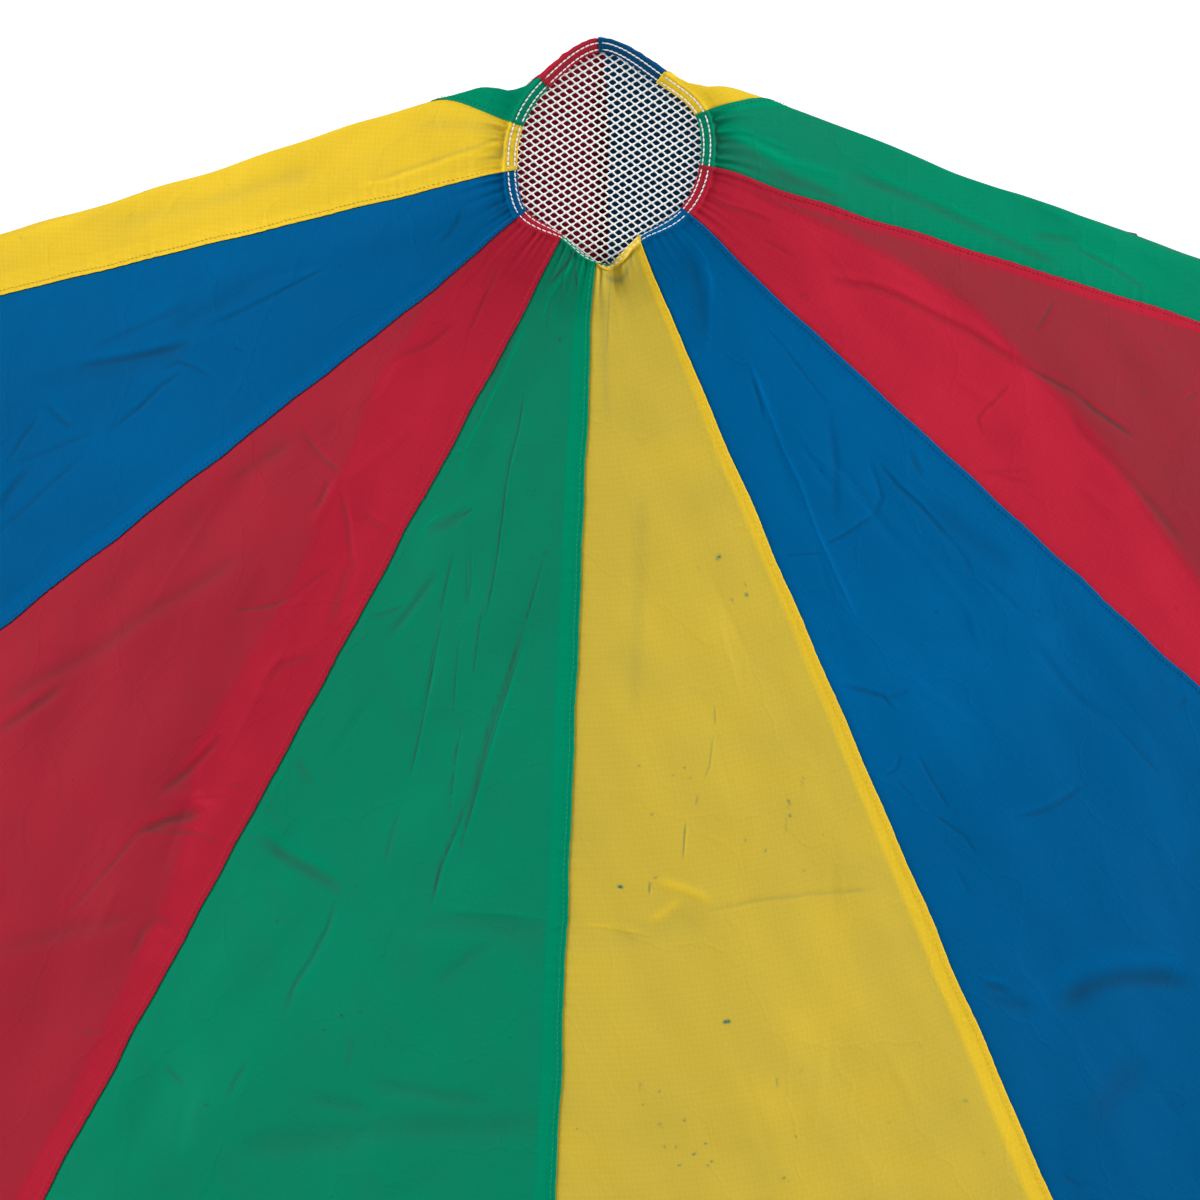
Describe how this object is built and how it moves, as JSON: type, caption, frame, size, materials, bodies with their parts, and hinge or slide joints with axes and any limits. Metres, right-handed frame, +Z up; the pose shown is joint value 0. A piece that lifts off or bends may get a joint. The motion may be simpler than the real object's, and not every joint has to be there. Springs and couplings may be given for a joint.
{
  "type": "play parachute",
  "caption": "Round group play parachute of coloured nylon gores with a net vent and webbing hand loops round its rim, set down on the floor like a tent.",
  "frame": {"origin": "on the floor, under the middle of the canopy's outline", "axes": "+Z up, -Y towards the side that the vent faces, +X to the right seen from there"},
  "size_m": [3.1897, 3.0793, 1.0277],
  "materials": {
    "cloth_red": "satin",
    "cloth_blue": "satin",
    "cloth_green": "satin",
    "cloth_yellow": "satin",
    "net": "matte",
    "webbing": "matte"
  },
  "bodies": {
    "canopy": {"gore_01_yellow": "cloth_yellow", "gore_02_blue": "cloth_blue", "gore_03_red": "cloth_red", "gore_04_green": "cloth_green", "gore_05_yellow": "cloth_yellow", "gore_06_blue": "cloth_blue", "gore_07_red": "cloth_red", "gore_08_green": "cloth_green", "gore_09_yellow": "cloth_yellow", "gore_10_blue": "cloth_blue", "gore_11_red": "cloth_red", "gore_12_green": "cloth_green", "vent_net": "net", "handle_tab_01": "webbing", "handle_tab_02": "webbing", "handle_tab_03": "webbing", "handle_tab_04": "webbing", "handle_tab_05": "webbing", "handle_tab_06": "webbing", "handle_tab_07": "webbing", "handle_tab_08": "webbing", "handle_tab_09": "webbing", "handle_tab_10": "webbing", "handle_tab_11": "webbing", "handle_tab_12": "webbing"},
    "handle_01": {"handle_01": "webbing"},
    "handle_02": {"handle_02": "webbing"},
    "handle_03": {"handle_03": "webbing"},
    "handle_04": {"handle_04": "webbing"},
    "handle_05": {"handle_05": "webbing"},
    "handle_06": {"handle_06": "webbing"},
    "handle_07": {"handle_07": "webbing"},
    "handle_08": {"handle_08": "webbing"},
    "handle_09": {"handle_09": "webbing"},
    "handle_10": {"handle_10": "webbing"},
    "handle_11": {"handle_11": "webbing"},
    "handle_12": {"handle_12": "webbing"}
  },
  "joints": [
    {"name": "handle_01_fold", "type": "hinge", "parent": "canopy", "child": "handle_01", "pos_m": [-0.07459, -1.41583, 0.0059], "axis": [-0.9985, 0.0548, 0], "range_deg": [0, 90]},
    {"name": "handle_02_fold", "type": "hinge", "parent": "canopy", "child": "handle_02", "pos_m": [0.83401, -1.15738, 0.0059], "axis": [-0.8242, -0.5664, 0], "range_deg": [0, 90]},
    {"name": "handle_03_fold", "type": "hinge", "parent": "canopy", "child": "handle_03", "pos_m": [1.46988, -0.43371, 0.0059], "axis": [-0.2995, -0.9541, 0], "range_deg": [0, 90]},
    {"name": "handle_04_fold", "type": "hinge", "parent": "canopy", "child": "handle_04", "pos_m": [1.47426, 0.4088, 0.0059], "axis": [0.2784, -0.9605, 0], "range_deg": [0, 90]},
    {"name": "handle_05_fold", "type": "hinge", "parent": "canopy", "child": "handle_05", "pos_m": [1.16111, 0.94946, 0.0059], "axis": [0.6561, -0.7547, 0], "range_deg": [0, 90]},
    {"name": "handle_06_fold", "type": "hinge", "parent": "canopy", "child": "handle_06", "pos_m": [0.62956, 1.30871, 0.0059], "axis": [0.9135, -0.4067, 0], "range_deg": [0, 90]},
    {"name": "handle_07_fold", "type": "hinge", "parent": "canopy", "child": "handle_07", "pos_m": [0.00652, 1.40715, 0.0059], "axis": [1, 0, 0], "range_deg": [0, 90]},
    {"name": "handle_08_fold", "type": "hinge", "parent": "canopy", "child": "handle_08", "pos_m": [-0.60137, 1.30859, 0.0059], "axis": [0.9135, 0.4067, 0], "range_deg": [0, 90]},
    {"name": "handle_09_fold", "type": "hinge", "parent": "canopy", "child": "handle_09", "pos_m": [-1.12095, 0.94365, 0.0059], "axis": [0.6561, 0.7547, 0], "range_deg": [0, 90]},
    {"name": "handle_10_fold", "type": "hinge", "parent": "canopy", "child": "handle_10", "pos_m": [-1.41038, 0.43017, 0.0059], "axis": [0.2976, 0.9547, 0], "range_deg": [0, 90]},
    {"name": "handle_11_fold", "type": "hinge", "parent": "canopy", "child": "handle_11", "pos_m": [-1.47736, -0.36108, 0.0059], "axis": [-0.2466, 0.9691, 0], "range_deg": [0, 90]},
    {"name": "handle_12_fold", "type": "hinge", "parent": "canopy", "child": "handle_12", "pos_m": [-0.95196, -1.09036, 0.0059], "axis": [-0.7605, 0.6493, 0], "range_deg": [0, 90]}
  ]
}
